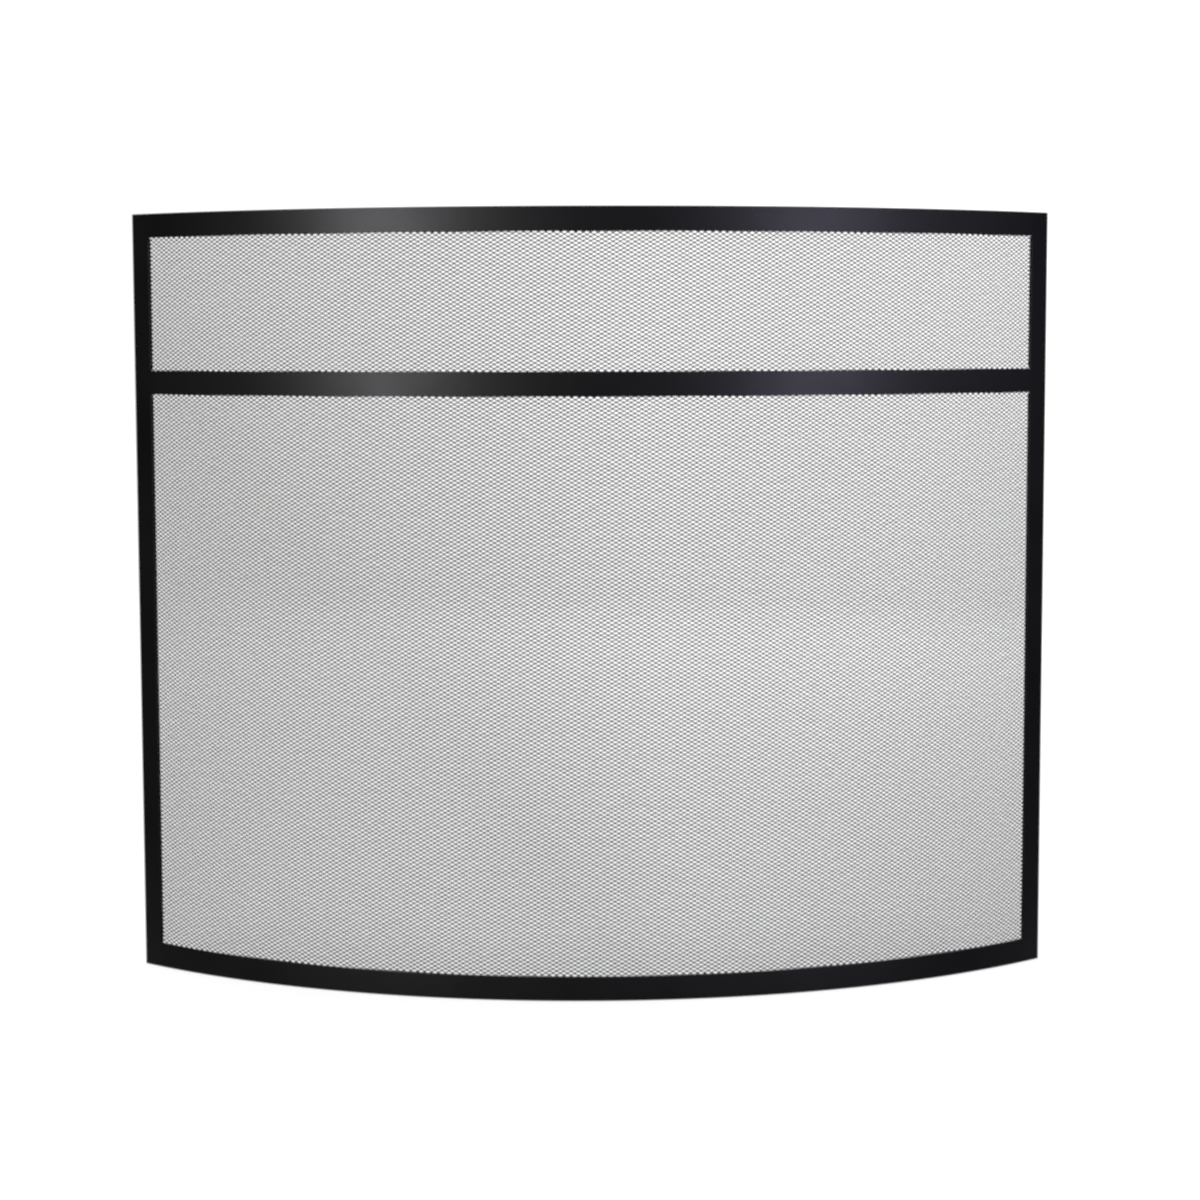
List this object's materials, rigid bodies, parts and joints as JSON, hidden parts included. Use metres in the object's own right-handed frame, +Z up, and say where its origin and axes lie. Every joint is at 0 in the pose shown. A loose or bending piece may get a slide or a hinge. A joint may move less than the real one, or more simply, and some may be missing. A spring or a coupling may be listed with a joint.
{
  "type": "fireplace screen",
  "caption": "Bowed free-standing fireplace screen: a black flat-bar frame with a middle rail, backed by one sheet of fine expanded metal that retaining strips clamp in place.",
  "frame": {"origin": "on the floor, in the middle of the rectangle that the screen covers in plan", "axes": "+X along the screen, +Y to the rear, into the hollow of the bow, +Z up; the bulging front faces -Y"},
  "size_m": [0.825, 0.1553, 0.685],
  "materials": {
    "powder_coat": "satin black powder coat with a fine orange peel",
    "expanded_metal": "thin matt black paint on slit and drawn steel",
    "strip_coat": "satin black powder coat on thin strip",
    "fastener": "black zinc plate, slightly worn"
  },
  "bodies": {
    "root": {"top_rail": "powder_coat", "middle_rail": "powder_coat", "bottom_rail": "powder_coat", "left_stile": "powder_coat", "right_stile": "powder_coat", "corner_welds": "powder_coat", "middle_rail_welds": "powder_coat", "mesh_panel": "expanded_metal", "top_strip": "strip_coat", "middle_strip": "strip_coat", "bottom_strip": "strip_coat", "left_strip": "strip_coat", "right_strip": "strip_coat", "top_studs": "fastener", "middle_studs": "fastener", "bottom_studs": "fastener", "left_studs": "fastener", "right_studs": "fastener", "top_nuts": "fastener", "middle_nuts": "fastener", "bottom_nuts": "fastener", "left_nuts": "fastener", "right_nuts": "fastener"}
  },
  "joints": []
}
